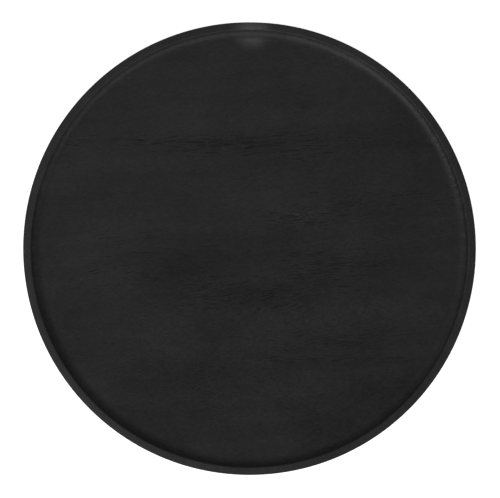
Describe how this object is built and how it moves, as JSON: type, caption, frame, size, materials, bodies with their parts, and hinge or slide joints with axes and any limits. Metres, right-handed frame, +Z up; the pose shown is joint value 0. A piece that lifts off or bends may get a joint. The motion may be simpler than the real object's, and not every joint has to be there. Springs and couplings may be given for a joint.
{
  "type": "serving tray",
  "caption": "Round black wooden serving tray turned from glued boards, with a flat floor, a low raised rim and rubber pads below.",
  "frame": {"origin": "centre of the tray on the table that its pads stand on", "axes": "+Z up, out of the tray's hollow; +X along the grain of the boards; +Y across the boards, towards the back"},
  "size_m": [0.45, 0.45, 0.022],
  "materials": {
    "black_wood": "black stain under satin lacquer, open pores",
    "pad_rubber": "matt moulded rubber"
  },
  "bodies": {
    "root": {"board_1": "black_wood", "board_2": "black_wood", "board_3": "black_wood", "board_4": "black_wood", "board_5": "black_wood", "board_6": "black_wood", "board_7": "black_wood", "board_8": "black_wood", "pad_back_right": "pad_rubber", "pad_back_left": "pad_rubber", "pad_front_left": "pad_rubber", "pad_front_right": "pad_rubber"}
  },
  "joints": []
}
